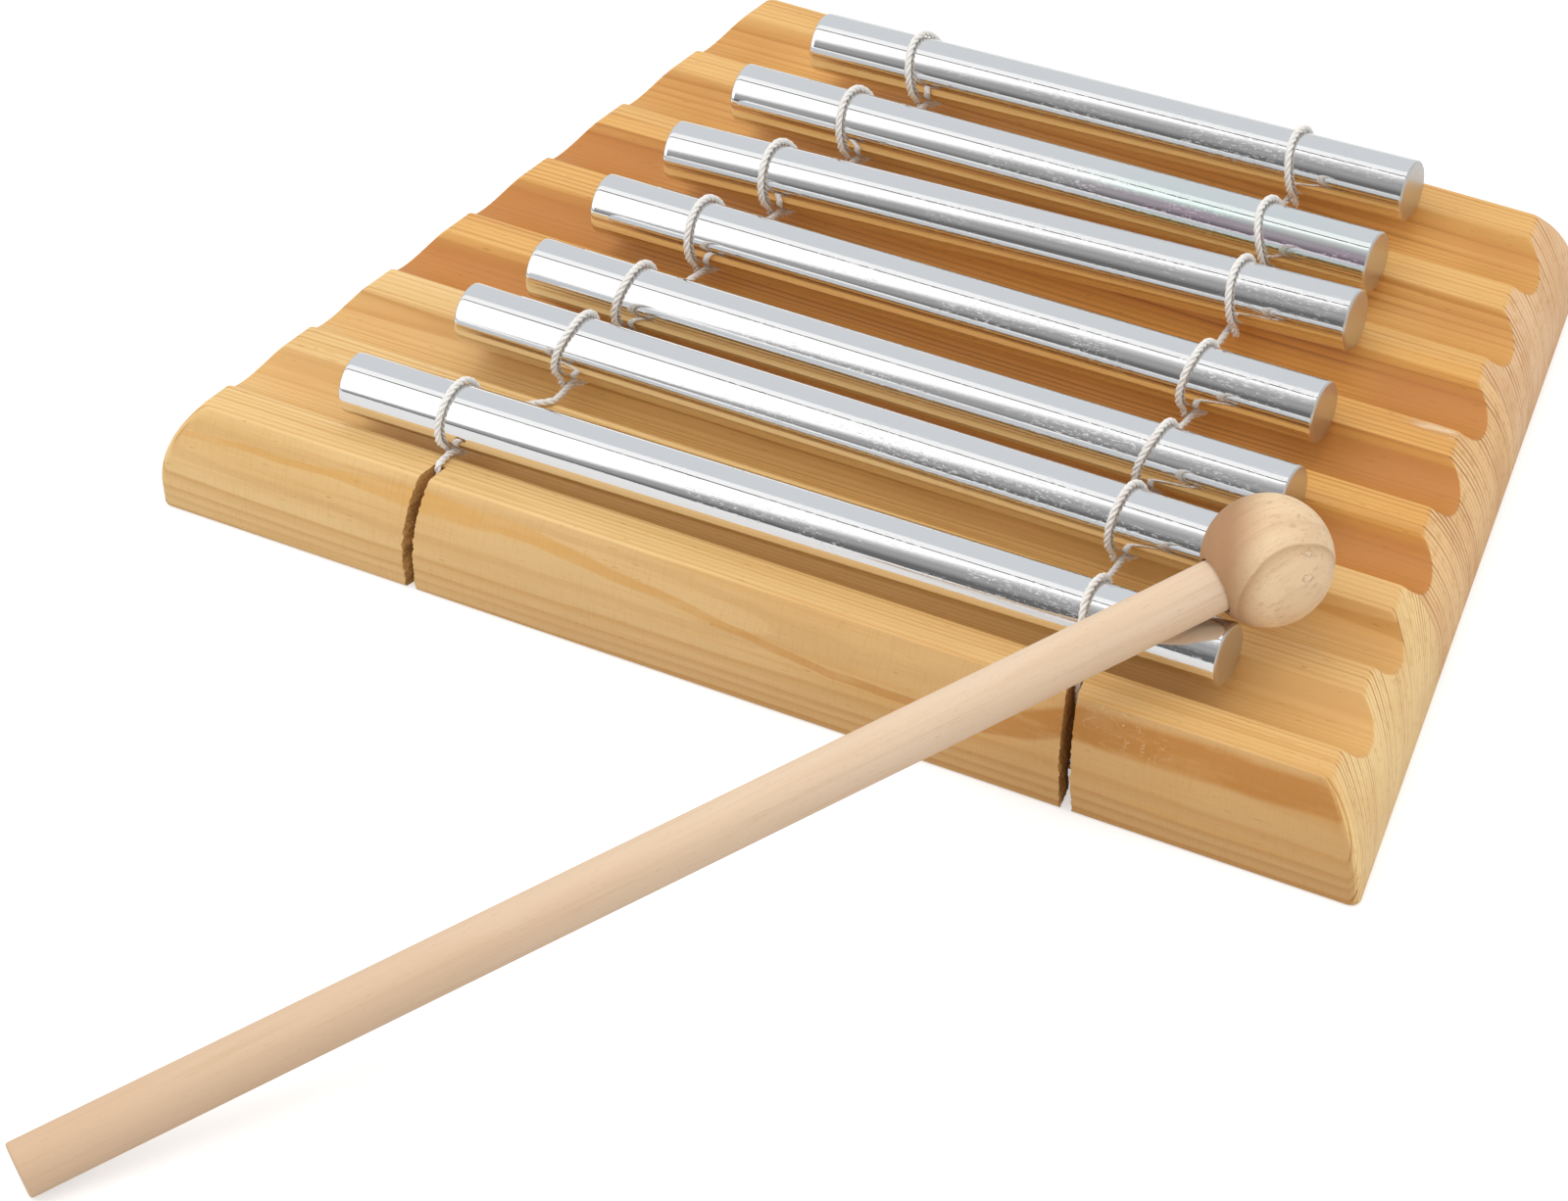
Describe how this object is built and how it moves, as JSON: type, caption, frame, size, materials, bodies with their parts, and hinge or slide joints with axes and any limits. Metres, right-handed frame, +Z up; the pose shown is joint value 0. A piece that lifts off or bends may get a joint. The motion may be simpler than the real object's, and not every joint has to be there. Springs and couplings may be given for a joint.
{
  "type": "chime bar set",
  "caption": "Chime bar set: round metal rods of stepped lengths hitched by two cords over a grooved trapezoid pine base, with a ball-headed wooden mallet.",
  "frame": {"origin": "centre of the base board's underside, level with the table", "axes": "+X along the rods to the right, +Y to the back, towards the shortest rod, +Z up"},
  "size_m": [0.2536, 0.3383, 0.0539],
  "materials": {
    "pine_light": "planed pine, oiled, light yellow stave",
    "pine_amber": "planed pine, oiled, amber stave",
    "pine_gold": "planed pine, oiled, golden stave",
    "aluminium": "drawn and polished round bar",
    "cotton_cord": "twisted natural white cord",
    "beech_dowel": "sanded raw dowel",
    "birch_ball": "turned and sanded raw ball"
  },
  "bodies": {
    "base": {"base_front_stave": "pine_light", "base_middle_stave": "pine_amber", "base_back_stave": "pine_gold", "cord_left": "cotton_cord", "cord_right": "cotton_cord"},
    "rod_1_body": {"rod_1": "aluminium"},
    "rod_2_body": {"rod_2": "aluminium"},
    "rod_3_body": {"rod_3": "aluminium"},
    "rod_4_body": {"rod_4": "aluminium"},
    "rod_5_body": {"rod_5": "aluminium"},
    "rod_6_body": {"rod_6": "aluminium"},
    "rod_7_body": {"rod_7": "aluminium"},
    "mallet": {"mallet_handle": "beech_dowel", "mallet_head": "birch_ball"}
  },
  "joints": [
    {"name": "rod_1_press", "type": "slide", "parent": "base", "child": "rod_1_body", "axis": [0, 0, 1], "range_m": [-0.001, 0], "stiffness_N_per_m": 2000, "springref_m": 0.0006, "deforming": ["cord_left", "cord_right"]},
    {"name": "rod_2_press", "type": "slide", "parent": "base", "child": "rod_2_body", "axis": [0, 0, 1], "range_m": [-0.001, 0], "stiffness_N_per_m": 2000, "springref_m": 0.0006},
    {"name": "rod_3_press", "type": "slide", "parent": "base", "child": "rod_3_body", "axis": [0, 0, 1], "range_m": [-0.001, 0], "stiffness_N_per_m": 2000, "springref_m": 0.0006},
    {"name": "rod_4_press", "type": "slide", "parent": "base", "child": "rod_4_body", "axis": [0, 0, 1], "range_m": [-0.001, 0], "stiffness_N_per_m": 2000, "springref_m": 0.0006},
    {"name": "rod_5_press", "type": "slide", "parent": "base", "child": "rod_5_body", "axis": [0, 0, 1], "range_m": [-0.001, 0], "stiffness_N_per_m": 2000, "springref_m": 0.0006},
    {"name": "rod_6_press", "type": "slide", "parent": "base", "child": "rod_6_body", "axis": [0, 0, 1], "range_m": [-0.001, 0], "stiffness_N_per_m": 2000, "springref_m": 0.0007},
    {"name": "rod_7_press", "type": "slide", "parent": "base", "child": "rod_7_body", "axis": [0, 0, 1], "range_m": [-0.001, 0], "stiffness_N_per_m": 2000, "springref_m": 0.0007},
    {"name": "mallet_lift", "type": "slide", "parent": "base", "child": "mallet", "axis": [0, 0, 1], "range_m": [0, 0.12]}
  ]
}
